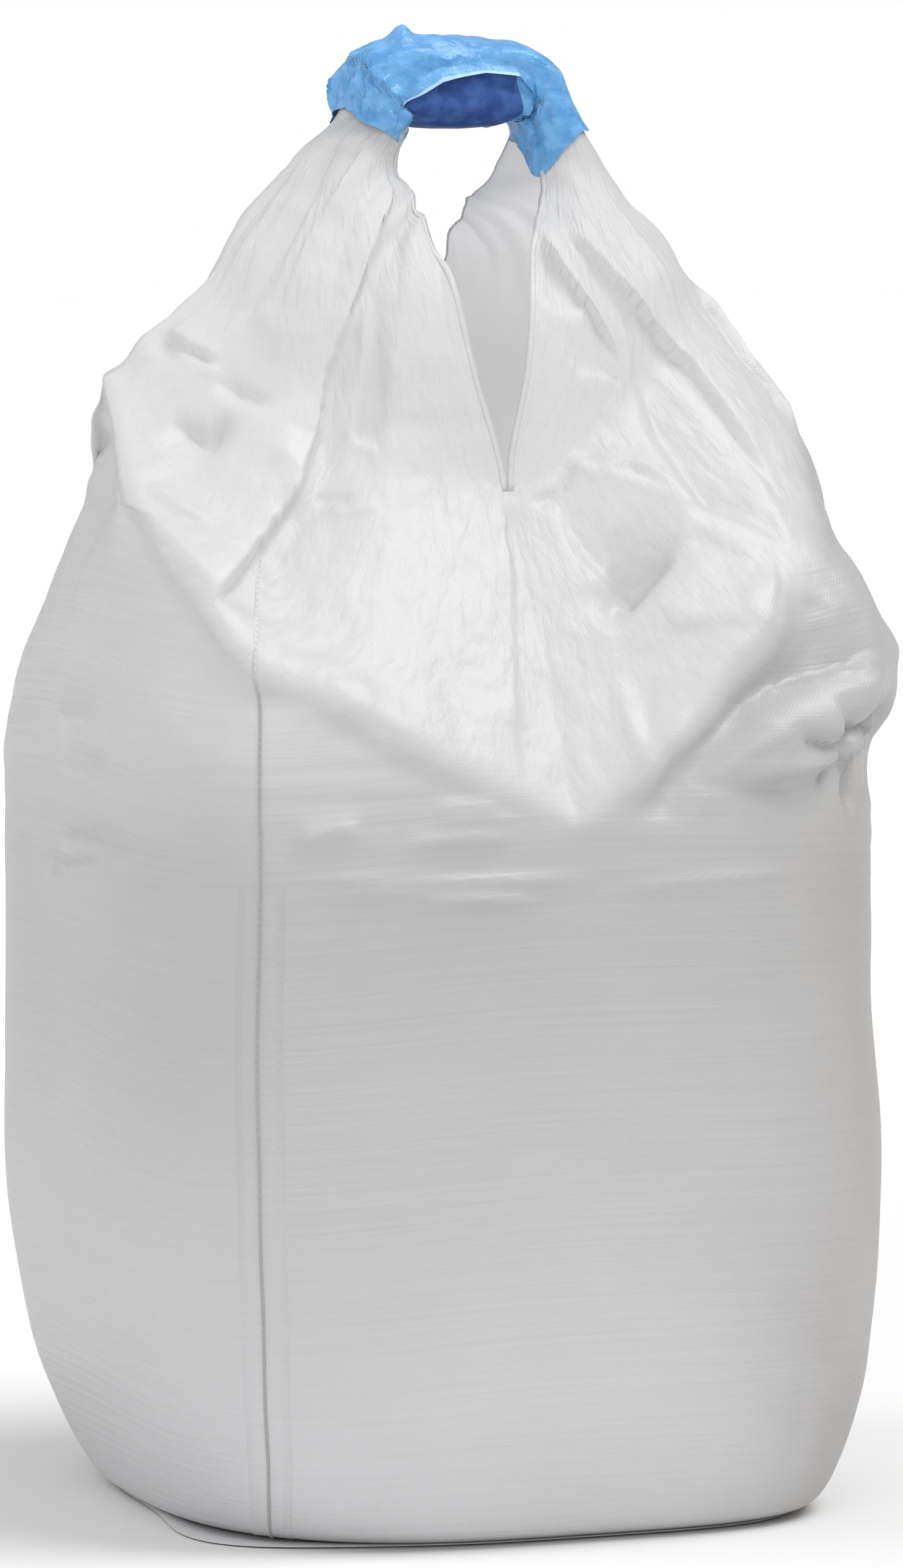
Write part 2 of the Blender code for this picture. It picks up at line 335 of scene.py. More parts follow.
class Cloth:
    """The bag's one sheet of cloth. Its halves are 0 on the right and 1 on the left."""

    def __init__(self):
        (right, right_up, right_ridge), (left, left_up, left_ridge) = half_cloth(1), half_cloth(-1)
        self.up = right_up, left_up
        self.ridge = right_ridge, left_ridge
        # The halves share the columns at the front and back middle, up to the slits, and the
        # last row, where the two legs meet in the loop
        rows, columns = right.shape[:2]
        for c in (0, columns - 1):
            middle = (right[: SLIT_ROW + 1, c] + left[: SLIT_ROW + 1, c]) / 2
            right[: SLIT_ROW + 1, c] = left[: SLIT_ROW + 1, c] = middle
        right[-1] = left[-1] = (right[-1] + left[-1]) / 2
        joined = np.zeros((rows, columns), bool)
        joined[: SLIT_ROW + 1, [0, -1]] = True
        joined[-1] = True
        index = numbered(rows, columns)
        other = np.where(joined, index, index.size - 1 + np.cumsum(~joined).reshape(rows, columns))
        self.index = np.stack([index, other])
        self.points = np.empty((other.max() + 1, 3))
        self.points[other.ravel()] = left.reshape(-1, 3)
        self.points[index.ravel()] = right.reshape(-1, 3)
        self.points -= MIDDLE
        self.quads = np.concatenate([grid_faces(index), grid_faces(other)[:, ::-1]])

    def normals(self):
        return vertex_normals(self.points, self.quads)

    def make(self, name, material):
        """Its mesh, with cloth coordinates in metres: round the tube from the front middle,
        and up along it."""
        thing = make(name, self.points, self.quads.tolist(), material)
        corners = []
        above, t = np.empty((2, len(self.points)))
        for half, way in ((0, 1), (1, -1)):
            place = np.broadcast_to(way * (T + 1) / 2 * HALF_GIRTH, self.up[half].shape)
            places = np.stack([place, self.up[half]], axis=-1).reshape(-1, 2)
            faces = grid_faces(numbered(*self.up[half].shape))
            corners.append(places[faces[:, ::way]])
            above[self.index[half]] = self.up[half] - self.ridge[half]
            t[self.index[half]] = T
        layer = thing.data.uv_layers.new(name="cloth")
        layer.data.foreach_set("uv", np.concatenate(corners).ravel())
        mark_hollow(thing.data, above, t)
        return thing


cloth = Cloth()


# Folds. Each has a line of points on the cloth in millimetres, or a centre or corners, and
# heights and widths in metres
def beside(points, normals, line):
    """Signed distance of points from a line, positive on its right seen from outside, their
    share of the way along it, and the way to the right there."""
    line = np.array(line) / 1000
    total = running_length(line)
    runs = unit(np.diff(line, axis=0))
    turns = np.concatenate([runs[:1], runs[:-1] + runs[1:], runs[-1:]])
    best = np.full(len(points), np.inf)
    share, sign = np.zeros(len(points)), np.ones(len(points))
    right = np.zeros_like(points)
    for i, (a, run) in enumerate(zip(line, runs)):
        length = total[i + 1] - total[i]
        s = np.clip((points - a) @ run, 0, length)
        offset = points - a - s[:, None] * run
        distance = np.linalg.norm(offset, axis=1)
        closer = distance < best
        # Past a bend the two runs that meet there share one direction
        way = np.where((s >= length)[:, None], turns[i + 1], run)
        way = np.where((s <= 0)[:, None], turns[i], way)
        across = unit(np.cross(way, normals), 1e-9)
        best[closer] = distance[closer]
        share[closer] = ((total[i] + s) / total[-1])[closer]
        sign[closer] = np.sign(np.einsum("ij,ij->i", offset, across))[closer]
        right[closer] = across[closer]
    return best * np.where(sign == 0, 1, sign), share, right


def taper(share, start, end):
    """1 along the middle of a line, falling to 0 over start and end shares of it."""
    up = np.clip(share / start, 0, 1) if start else np.ones_like(share)
    down = np.clip((1 - share) / end, 0, 1) if end else np.ones_like(share)
    return np.sin(up * math.pi / 2) ** 2 * np.sin(down * math.pi / 2) ** 2


def spread_along(value, share):
    """A value at shares of a line. A list is spread evenly over it."""
    if isinstance(value, list):
        return np.interp(share, np.linspace(0, 1, len(value)), value)
    return value


def sized(height, share, start, end):
    """Heights at shares of a line, tapered at its ends."""
    return spread_along(height, share) * taper(share, start, end)


def lap(line, height, over=0.003, raised=0.03, sunk=0.045, start=0.1, end=0.1, edge=0.008):
    """An overlapping fold whose left side, seen from outside, lies over its right side."""

    def move(points, normals):
        d, share, right = beside(points, normals, line)
        size = sized(height, share, start, end)
        step = 0.5 * (1 + np.tanh(d / edge))
        rise = 0.4 * (1 - step) * np.exp(-np.abs(d) / raised)
        rise = rise - 0.6 * step * np.exp(-np.abs(d) / sunk)
        slide = (1 - step) * np.exp(-np.abs(d) / 0.012) - step * np.exp(-np.abs(d) / 0.012)
        reach = over * np.clip(np.abs(size) / 0.01, 0, 1) * slide
        return (size * rise)[:, None] * normals + reach[:, None] * right

    return move


def crease(line, height, left=0.012, right=None, start=0.3, end=0.3, soft=0.003):
    """A ridge, or a valley where height is negative, as wide as given on either side."""

    def move(points, normals):
        d, share, _ = beside(points, normals, line)
        width = np.where(d < 0, left, right or left)
        shape = np.exp(-(np.sqrt(d**2 + soft**2) - soft) / width)
        return (sized(height, share, start, end) * shape)[:, None] * normals

    return move


def relief(line, profile, height=1.0, start=0.2, end=0.2, spread=1.0, over=0.0):
    """A profile of (across, height) points, whose positive side is the line's right.

    Spread stretches it across, and over pushes what lies left of the line to the right."""
    across, heights = np.array(profile).T

    def move(points, normals):
        d, share, right = beside(points, normals, line)
        place = np.clip(d / spread_along(spread, share), across[0], across[-1])
        out = pchip(across, heights, place)
        size = sized(height, share, start, end)
        pushed = np.exp(-np.abs(d) / 0.010) * (1 - np.exp(-np.abs(d) / 0.002))
        slide = over * size * np.where(d < 0, 1, -1) * pushed
        return (size * out)[:, None] * normals + slide[:, None] * right

    return move


def dent(centre, depth, radius):
    """A round hollow."""

    def move(points, normals):
        d = np.linalg.norm(points - np.array(centre) / 1000, axis=1)
        return (-depth * np.exp(-((d / radius) ** 2)))[:, None] * normals

    return move


def facet(corners, heights, soft=0.010):
    """A flat plate within a polygon, tilted to the heights at its corners, with soft edges."""
    corners = np.array(corners) / 1000
    centre = corners.mean(axis=0)
    axes = np.linalg.svd(corners - centre)[2]
    flat = (corners - centre) @ axes[:2].T
    tilt = np.column_stack([flat, np.ones(len(flat))])
    plane = np.linalg.lstsq(tilt, np.array(heights), rcond=None)[0]
    edges = np.roll(flat, -1, axis=0) - flat
    inward = unit(np.column_stack([-edges[:, 1], edges[:, 0]]))
    inward *= np.sign(np.einsum("ij,ij->i", inward, -flat))[:, None]

    def move(points, normals):
        here = (points - centre) @ axes[:2].T
        depth = np.min([(here - corner) @ way for corner, way in zip(flat, inward)], axis=0)
        same_face = np.abs((points - centre) @ axes[2]) < 0.12
        size = smooth_step(depth, -soft, soft) * same_face
        return ((np.column_stack([here, np.ones(len(here))]) @ plane) * size)[:, None] * normals

    return move


# Profiles across a fold, as (across, height) in metres
FLAP = [(-0.12, 0), (-0.06, 0.004), (-0.015, 0.01), (-0.003, 0.011),
        (0.006, -0.009), (0.02, -0.011), (0.05, -0.007), (0.1, 0)]
PINCH = [(-0.035, 0), (-0.014, 0.004), (-0.004, 0.006),
         (0.004, -0.006), (0.012, -0.007), (0.035, 0)]
RIDGE_PROFILE = [(-0.12, 0), (-0.06, -0.004), (-0.022, -0.007), (0, 0.004),
                 (0.02, 0.007), (0.06, 0.003), (0.1, 0)]
VALLEY_EDGE = [(-0.12, 0), (-0.09, 0.002), (-0.06, -0.006), (-0.012, -0.022),
               (0.01, -0.006), (0.03, 0.004), (0.08, 0)]
OVERHANG = [(-0.09, 0), (-0.04, 0.005), (-0.008, 0.013), (0.008, 0.009),
            (0.032, -0.012), (0.052, -0.018), (0.08, -0.01), (0.12, 0)]
ROLL = [(-0.07, 0), (-0.035, -0.01), (-0.01, -0.016), (0.01, -0.004),
        (0.032, 0.009), (0.055, 0.014), (0.08, 0.007), (0.12, 0)]

FOLDS = [
    # Left leg: the side lies over the front, with folds from the sleeve's end beside it
    relief(
        [(-410, -338, 1122), (-398, -327, 1136), (-318, -261, 1200), (-264, -227, 1253),
         (-222, -181, 1327), (-203, -163, 1395), (-178, -166, 1448), (-133, -144, 1548),
         (-98, -100, 1660)],
        FLAP, height=[0.8, 1.0, 0.9, 0.8, 0.7, 0.6, 0.5], start=0.06, end=0.1, over=0.003,
    ),
    crease(
        [(-214, -230, 1256), (-180, -193, 1327), (-160, -176, 1448), (-120, -135, 1568)],
        0.009, 0.01,
    ),
    crease(
        [(-149, -204, 1329), (-149, -193, 1395), (-148, -167, 1488), (-90, -120, 1620)],
        -0.012, 0.014,
    ),
    crease([(-146, -206, 1327), (-123, -190, 1448), (-99, -106, 1596)], 0.008, 0.012),
    lap(
        [(-135, -81, 1664), (-165, -92, 1617), (-192, -94, 1576)],
        0.014, sunk=0.05, start=0.1, end=0.3,
    ),
    relief([(-364, -9, 1444), (-341, -55, 1422), (-313, -91, 1404)], PINCH, 1.0),
    crease([(-364, -38, 1418), (-332, -87, 1395), (-312, -103, 1391)], 0.01, 0.009),
    crease([(-327, -98, 1388), (-294, -132, 1369), (-262, -160, 1352)], -0.012, 0.008),
    crease([(-384, -98, 1346), (-352, -149, 1315), (-314, -135, 1355)], -0.016, 0.009, 0.02),
    dent((-350, -142, 1324), 0.011, 0.024),
    relief([(-438, -175, 1265), (-414, -221, 1232), (-384, -244, 1215)], PINCH, 0.7),
    crease([(-290, -185, 1330), (-256, -215, 1272), (-268, -240, 1226)], 0.008, 0.014),
    crease([(-244, -229, 1252), (-219, -235, 1249), (-195, -242, 1246)], -0.008, 0.007),
    crease([(-236, -238, 1232), (-205, -246, 1230), (-160, -252, 1236)], 0.007, 0.009),
    # The shoulder's ridge, from the front middle round the left corner
    relief(
        [(8, -472, 868), (-76, -468, 900), (-175, -461, 946), (-248, -450, 983), (-315, -417, 1032),
         (-369, -397, 1043), (-398, -368, 1078), (-410, -325, 1134), (-441, -243, 1203),
         (-457, -151, 1249), (-454, -82, 1291)],
        RIDGE_PROFILE, height=[0.5, 0.7, 0.9, 1.0, 1.0, 0.8], start=0.3, end=0.2,
    ),
    # Under the front slit the left half lies over the right
    relief(
        [(-71, -466, 903), (-48, -396, 1020), (-19, -302, 1150), (-6, -245, 1245)],
        FLAP, height=[0.15, 0.2, 0.3, 0.4], start=0.2, end=0.1, spread=0.7,
    ),
    # Right leg: an outer band and a narrower one lie over the front
    relief(
        [(102, -130, 1575), (125, -147, 1555), (161, -167, 1506), (209, -165, 1454),
         (268, -162, 1393), (302, -218, 1321), (333, -261, 1266), (345, -293, 1227)],
        FLAP, height=[0.5, 0.7, 0.9, 1.0, 0.8], start=0.1, end=0.3,
    ),
    relief(
        [(72, -137, 1563), (99, -171, 1515), (142, -194, 1443), (177, -194, 1386)],
        FLAP, height=0.7, spread=0.6, end=0.4,
    ),
    crease([(128, -160, 1532), (197, -182, 1432)], -0.006, 0.01),
    crease([(92, -234, 1288), (162, -254, 1280), (223, -295, 1241)], 0.014, 0.014, 0.007),
    crease([(18, -248, 1235), (57, -248, 1246), (92, -236, 1284)], -0.01, 0.009),
    relief(
        [(330, -10, 1500), (346, -31, 1466), (371, -81, 1407), (407, -102, 1348),
         (407, -145, 1316)],
        PINCH, 1.3,
    ),
    relief(
        [(60, -325, 1140), (95, -353, 1107), (147, -341, 1151), (218, -340, 1191)],
        VALLEY_EDGE, start=0.25, end=0.5,
    ),
    crease([(81, -390, 1044), (93, -465, 919)], 0.006, 0.01),
    crease([(116, -402, 1044), (105, -466, 919)], -0.005, 0.012),
    # Flat plates of cloth between the folds
    facet(
        [(30, -248, 1238), (92, -234, 1288), (223, -295, 1241), (165, -335, 1168), (98, -354, 1107),
         (70, -290, 1185)],
        [0.004, 0.014, 0.012, -0.023, -0.046, -0.021], 0.012,
    ),
    facet(
        [(133, -329, 1160), (213, -320, 1206), (281, -365, 1159), (255, -409, 1098),
         (154, -384, 1092)],
        [-0.006, -0.01, -0.004, 0.008, 0.01], 0.014,
    ),
    facet(
        [(77, -195, 1460), (118, -190, 1467), (152, -201, 1387), (101, -211, 1396)],
        [0.006, 0.006, -0.01, -0.01], 0.012,
    ),
    facet(
        [(192, -177, 1442), (262, -185, 1369), (322, -268, 1258), (317, -330, 1197),
         (232, -296, 1241), (196, -234, 1315)],
        [0.0, 0.007, 0.007, -0.004, -0.032, -0.028], 0.016,
    ),
    facet(
        [(-310, -66, 1436), (-259, -91, 1473), (-219, -144, 1437), (-262, -153, 1359),
         (-310, -125, 1368)],
        [0.006, 0.007, 0.002, -0.006, -0.005], 0.016,
    ),
    facet(
        [(-171, -174, 1437), (-126, -200, 1401), (-154, -209, 1309), (-179, -196, 1319)],
        [-0.004, 0.004, -0.01, -0.012], 0.01,
    ),
    # Left side: the tent's corner stands over a hollow
    crease([(-425, 80, 1262), (-430, 175, 1238), (-415, 270, 1225)], -0.028, 0.06, soft=0.02),
    crease([(-390, -30, 1435), (-448, 0, 1385), (-440, 60, 1330)], -0.014, 0.045, soft=0.02),
    crease(
        [(-440, -160, 1235), (-452, -60, 1285), (-455, 60, 1310), (-440, 220, 1280)],
        -0.046, 0.08, 0.036, start=0.4, end=0.4, soft=0.012,
    ),
    # Right side: two broad hollows, with a ridge between them
    crease([(390, -370, 1175), (455, -250, 1190), (475, -90, 1195)], -0.017, 0.05, soft=0.02),
    crease([(410, -405, 985), (442, -383, 980), (470, -300, 972)], -0.026, 0.02, 0.036, soft=0.008),
    crease([(455, -345, 1055), (479, -275, 1050), (485, -190, 1050)], 0.013, 0.028, soft=0.01),
    # Right shoulder: the tent's edge overhangs a roll, with short folds at its end
    relief(
        [(56, -471, 881), (90, -466, 913), (113, -458, 948), (171, -454, 989), (199, -440, 1031),
         (246, -430, 1069), (274, -419, 1105), (292, -397, 1155), (313, -371, 1200)],
        OVERHANG, height=[0.6, 0.9, 1.1, 1.2, 1.0], start=0.15, end=0.25,
        spread=[0.5, 0.7, 1.0, 1.3, 1.3],
    ),
    relief(
        [(140, -468, 935), (161, -465, 950), (198, -460, 983), (237, -453, 1013), (278, -449, 1034),
         (335, -447, 1043), (404, -418, 1052), (450, -350, 1065)],
        ROLL, height=[0.7, 1.0, 1.2, 1.2, 0.9], start=0.15, end=0.2, spread=[0.6, 0.9, 1.0, 1.0],
    ),
    crease([(340, -336, 1244), (312, -375, 1194), (292, -399, 1151)], -0.007, 0.007, 0.014),
    facet(
        [(340, -436, 1012), (424, -380, 1028), (425, -375, 952), (355, -433, 958)],
        [0.002, 0.002, -0.036, -0.036], 0.009,
    ),
    dent((371, -428, 953), 0.013, 0.015),
    crease(
        [(374, -422, 949), (331, -445, 953), (278, -459, 962)],
        -0.02, 0.009, start=0.05, end=0.4,
    ),
    crease([(368, -427, 956), (325, -447, 967), (286, -457, 974)], 0.01, 0.008, start=0.1, end=0.6),
    crease(
        [(360, -430, 937), (295, -454, 926), (196, -468, 920)],
        0.012, 0.009, start=0.1, end=0.6,
    ),
    crease([(300, -452, 906), (240, -464, 902), (175, -470, 902)], -0.007, 0.009),
    crease(
        [(372, -420, 928), (340, -434, 917), (318, -441, 896)],
        -0.018, 0.009, start=0.1, end=0.5,
    ),
    crease(
        [(384, -400, 940), (382, -400, 902), (389, -395, 849)],
        -0.018, 0.011, start=0.1, end=0.5,
    ),
    crease(
        [(390, -395, 948), (410, -380, 930), (440, -340, 915)],
        -0.012, 0.008, start=0.1, end=0.6,
    ),
    crease([(368, -420, 935), (356, -424, 880)], 0.009, 0.008, start=0.1, end=0.6),
    # Level wrinkles round the shoulder
    crease([(-190, -468, 894), (-132, -470, 896), (-85, -470, 893)], 0.006, 0.006, 0.01),
    crease([(-185, -471, 878), (-120, -473, 881), (-60, -474, 876)], 0.0055, 0.006, 0.01),
    crease([(-230, -469, 851), (-135, -476, 857), (-70, -477, 852)], 0.0065, 0.006, 0.011),
    crease(
        [(-377, -422, 816), (-283, -461, 812), (-134, -478, 808), (50, -479, 802)],
        0.007, 0.005, 0.009,
    ),
    crease([(-386, -416, 795), (-254, -467, 795), (-26, -479, 789)], 0.0055, 0.005, 0.009),
    crease([(-218, -472, 783), (-120, -478, 784), (-33, -479, 779)], 0.0064, 0.0052, 0.0078),
    crease([(40, -479, 794), (180, -474, 799), (300, -452, 802)], 0.006, 0.005, 0.009),
    crease([(-496, 95, 775), (-498, -80, 800), (-479, -272, 827)], 0.0096, 0.0078, 0.0117),
    crease([(-497, -10, 830), (-490, -170, 838), (-470, -290, 832)], 0.008, 0.0078, 0.0117),
    crease([(-348, -437, 856), (-303, -453, 870), (-257, -463, 873)], 0.0112, 0.0091, 0.0156),
    crease([(-500, -20, 982), (-494, -185, 980)], 0.0112, 0.013),
    crease([(-500, -60, 962), (-490, -210, 945)], -0.0096, 0.0156),
]


def billows(places, seed):
    """Noise in octaves with creased valleys, from 0 in them to about 1, at rows of places."""
    out = np.zeros(len(places))
    for octave, share in enumerate((0.60, 0.27, 0.13)):
        shift = Vector((seed * 7.3, octave * 3.1, seed * 1.7))
        step = 2.0**octave
        read = np.array([noise.noise(Vector(p) * step + shift) for p in places.tolist()])
        out += share * np.abs(read) * 2
    return out


BILLOWS_MEAN = 0.35
# Heights in metres
TENT_FACETS, TENT_CRUMPLES = 0.009, 0.0055
BODY_WAVES, BODY_WRINKLES = 0.003, 0.0022
GATHER_DEPTH, GATHER_LIFT = 0.016, 0.009
LEFT_ARM = 0.018


def crumple(points, normals):
    """Soft facets here and there over the tent and legs, and slight unevenness of the body."""

    def waves(scale, seed):
        return billows(points * scale, seed) - BILLOWS_MEAN

    tent = smooth_step(normals[:, 2], 0.05, 0.40) * (1 - smooth_step(points[:, 2], 1.56, 1.66))
    where = 0.35 + 0.65 * smooth_step(billows(points * 2.1, 4), 0.20, 0.55)
    facets = waves((4.2, 4.2, 2.6), 1)
    fade = smooth_step(points[:, 2], 0.02, 0.12)
    level_wrinkles = waves((2.2, 2.2, 26), 5) * smooth_step(points[:, 2], 0.70, 0.84)
    body = BODY_WAVES * waves((2.2, 2.2, 4.0), 2) + BODY_WRINKLES * level_wrinkles
    small = waves((10, 10, 6), 8)
    high = TENT_FACETS * where * facets
    high = high + TENT_CRUMPLES * smooth_step(facets, -0.25, 0.10) * small
    return (fade * (tent * high + (1 - tent) * body))[:, None] * normals


def pleats(points, normals):
    """Gathers below the sleeve, all round both legs, that widen and fade downwards."""
    side = np.where(points[:, 0] < 0, -1.0, 1.0)
    around = np.arctan2(points[:, 1] - LOOP_Y, side * (points[:, 0] - side * 0.02))
    height = smooth_step(points[:, 2], 1.36, 1.60)
    inside = 1 - smooth_step(points[:, 2], 1.64, 1.70)
    places = np.stack([around * 3.0, side * 4.0, points[:, 2] * 1.2], axis=1)
    gathers = billows(places, 3)
    rise = -GATHER_DEPTH * (1 - gathers) * height * inside + GATHER_LIFT * height * inside
    return rise[:, None] * normals


def arms(points, normals):
    """The left leg's inner front, shifted right, and the right leg's inner back, shifted left."""
    left = smooth_step(-points[:, 0], 0.0, 0.03) * (1 - smooth_step(-points[:, 0], 0.10, 0.16))
    left *= LEFT_ARM * smooth_step(-points[:, 1], 0.0, 0.06) * smooth_step(points[:, 2], 1.54, 1.62)
    right = smooth_step(points[:, 0], 0.0, 0.03) * (1 - smooth_step(points[:, 0], 0.11, 0.19))
    bump = np.interp(points[:, 2], [1.530, 1.570, 1.605, 1.645, 1.690], [0, 0.018, 0.042, 0.028, 0])
    right *= bump * smooth_step(points[:, 1], -0.02, 0.03)
    return (left - right)[:, None] * np.array([1.0, 0, 0])


form_points, form_normals = cloth.points.copy(), cloth.normals()
for fold in [*FOLDS, crumple, pleats, arms]:
    cloth.points += fold(form_points, form_normals)


# Materials
class Nodes:
    """Short ways to add nodes to a tree. Each input is a value or another node's output."""

    def __init__(self, tree):
        self.tree = tree

    def fill(self, sockets, values):
        for socket, value in zip(sockets, values):
            if isinstance(value, bpy.types.NodeSocket):
                self.tree.links.new(value, socket)
            else:
                socket.default_value = value

    def node(self, kind, inputs=None, **settings):
        made = self.tree.nodes.new("ShaderNode" + kind)
        for key, value in settings.items():
            setattr(made, key, value)
        inputs = inputs or {}
        self.fill([made.inputs[socket] for socket in inputs], inputs.values())
        return made

    def maths(self, operation, *values):
        made = self.node("Math", operation=operation)
        self.fill(made.inputs, values)
        return made.outputs["Value"]

    def product(self, first, second, *more):
        result = self.maths("MULTIPLY", first, second)
        return self.product(result, *more) if more else result

    def mix(self, share, first, second, blend="MIX"):
        made = self.node("Mix", data_type="RGBA", blend_type=blend)
        self.fill([socket for socket in made.inputs if socket.enabled], (share, first, second))
        return [socket for socket in made.outputs if socket.enabled][0]

    def fall(self, value, low, high):
        """0 at low and 1 at high, smoothly between them. Low may be the larger."""
        inputs = {"Value": value, "From Min": low, "From Max": high}
        return self.node("MapRange", inputs, interpolation_type="SMOOTHSTEP").outputs["Result"]

    def noise(self, place, scale, detail=3):
        stretched = self.node("Mapping", {"Vector": place, "Scale": scale}).outputs["Vector"]
        inputs = {"Vector": stretched, "Scale": 1.0, "Detail": detail}
        return self.node("TexNoise", inputs).outputs["Fac"]

    def attribute(self, name):
        return self.node("Attribute", attribute_name=name).outputs["Fac"]


class Shader(Nodes):
    """A material with a Principled shader. Colours have red, green, blue and 1."""

    def __init__(self, name, colour, roughness):
        self.material = bpy.data.materials.new(name)
        self.material.use_nodes = True
        super().__init__(self.material.node_tree)
        self.main = self.tree.nodes["Principled BSDF"]
        self.main.inputs["Base Color"].default_value = colour
        self.main.inputs["Roughness"].default_value = roughness

    def colour(self, source):
        self.tree.links.new(source, self.main.inputs["Base Color"])

    def bump(self, heights):
        """Relief in metres."""
        bumped = self.node("Bump", {"Height": heights, "Distance": 1.0, "Strength": 1.0})
        self.tree.links.new(bumped.outputs["Normal"], self.main.inputs["Normal"])

    def let_light_through(self, share, colour):
        """Mixes in a share of light that comes through the cloth from behind."""
        through = self.node("BsdfTranslucent", {"Color": colour}).outputs["BSDF"]
        both = self.node("MixShader", {"Fac": share, 1: self.main.outputs["BSDF"], 2: through})
        end = self.tree.nodes["Material Output"].inputs["Surface"]
        self.tree.links.new(both.outputs["Shader"], end)


TAPE = 0.0026  # width of one woven tape
TAPE_HEIGHT, STREAK_HEIGHT, CRINKLE_HEIGHT = 0.00010, 0.0011, 0.006
TENT_TONE = (0.76, 0.762, 0.766, 1)
# Painted shade: the filled body's grey, darker than the tent's, stands in for light the gravel behind
# it swallows
BODY_PAINTED_SHADE_TONE = (0.448, 0.450, 0.454, 1)
# Painted light: the body's paler foot, standing in for light bounced from the floor
FOOT_PAINTED_BOUNCE_TONE = (0.56, 0.563, 0.574, 1)
# Painted light: the filled body's paler left shoulder
LEFT_SHOULDER_PAINTED_LIGHT_TONE = (0.56, 0.56, 0.565, 1)
# Painted shade: warm and dark, on the filled body's right side
RIGHT_PAINTED_SHADE_TONE = (0.365, 0.350, 0.340, 1)
LIGHT_THROUGH = (0.93, 0.93, 0.95, 1)


def woven_material():
    """Off-white woven tapes, by the cloth's own coordinates in metres."""
    woven = Shader("woven_polypropylene", (0.7, 0.7, 0.7, 1), 0.42)
    place = woven.node("UVMap", uv_map="cloth").outputs["UV"]
    split = woven.node("SeparateXYZ", {"Vector": place}).outputs
    round_it, up_it = split["X"], split["Y"]
    # Painted shade: the filled body is painted darker than the hollow tent, for the light that comes
    # through the tent and that the gravel behind the body swallows
    hollow = woven.attribute("hollow")
    filled = woven.maths("SUBTRACT", 1.0, hollow)
    tone = woven.mix(hollow, BODY_PAINTED_SHADE_TONE, TENT_TONE)
    # Painted light and shade on the filled body: its foot paler for light bounced from the floor, its
    # left shoulder paler, and its right side warm and dark as painted shade
    foot_painted_bounce = woven.product(filled, woven.fall(up_it, 0.75, 0.10))
    tone = woven.mix(foot_painted_bounce, tone, FOOT_PAINTED_BOUNCE_TONE)
    spread = woven.noise(place, (3.2, 2.6, 1))
    # Painted shade, warm and dark, over the filled body's right side
    round_right_shade = woven.maths("MULTIPLY_ADD", spread, 0.30, woven.maths("SUBTRACT", round_it, 0.15))
    up_right_shade = woven.maths("MULTIPLY_ADD", spread, 0.40, woven.maths("SUBTRACT", up_it, 0.20))
    on_right = woven.product(woven.fall(round_right_shade, 0.10, 0.60), woven.fall(round_right_shade, 0.98, 0.60))
    right_painted_shade = woven.product(on_right, woven.fall(up_right_shade, 1.10, 0.80), filled)
    tone = woven.mix(right_painted_shade, tone, RIGHT_PAINTED_SHADE_TONE)
    # Painted light: the left shoulder of the filled body is painted paler
    shoulder = woven.product(woven.fall(up_it, 0.84, 1.10), woven.fall(round_it, 0.05, -0.25))
    tone = woven.mix(woven.product(filled, shoulder), tone, LEFT_SHOULDER_PAINTED_LIGHT_TONE)
    # Fine level streaks, and broad patches
    streaks = woven.product(woven.noise(place, (2.2, 150, 1)), filled)
    patches = woven.noise(place, (5, 4, 1), 2)
    speckle = woven.maths("ADD", streaks, patches)
    bright = woven.maths("MULTIPLY_ADD", speckle, 0.08, 0.92)
    woven.colour(woven.mix(1.0, tone, bright, "MULTIPLY"))
    woven.let_light_through(woven.attribute("light_through"), LIGHT_THROUGH)
    # Tapes go over and under each other, streaks stand up a little, and the tent is crinkled
    waves = [woven.maths("SINE", woven.product(way, math.pi / TAPE)) for way in (round_it, up_it)]
    tapes = woven.product(*waves, TAPE_HEIGHT)
    crinkles = woven.maths("SUBTRACT", woven.noise(place, (22, 14, 1)), 0.5)
    crinkles = woven.product(woven.maths("ABSOLUTE", crinkles), hollow, CRINKLE_HEIGHT)
    raised = woven.maths("ADD", tapes, woven.product(streaks, STREAK_HEIGHT))
    woven.bump(woven.maths("ADD", raised, crinkles))
    return woven.material


def patched_fabric(name, roughness, scale, low, high, tones, crinkled=0.0):
    """A fabric in patches of a dark and a pale tone, crinkled by so many metres."""
    fabric = Shader(name, tones[-1], roughness)
    place = fabric.node("TexCoord").outputs["Object"]
    fabric.colour(fabric.mix(fabric.fall(fabric.noise(place, scale), low, high), *tones))
    if crinkled:
        fabric.bump(fabric.product(fabric.noise(place, (60, 60, 90)), crinkled))
    return fabric.material


def seam_grey(name, on_body, on_tent):
    """A grey that follows the cloth's painted shade: darker on the filled body, paler on the hollow
    tent.
    """
    grey = Shader(name, on_body, 0.7)
    grey.colour(grey.mix(grey.attribute("hollow"), on_body, on_tent))
    return grey.material


BLUE_TONES = (0.090, 0.308, 0.63, 1), (0.148, 0.405, 0.74, 1)
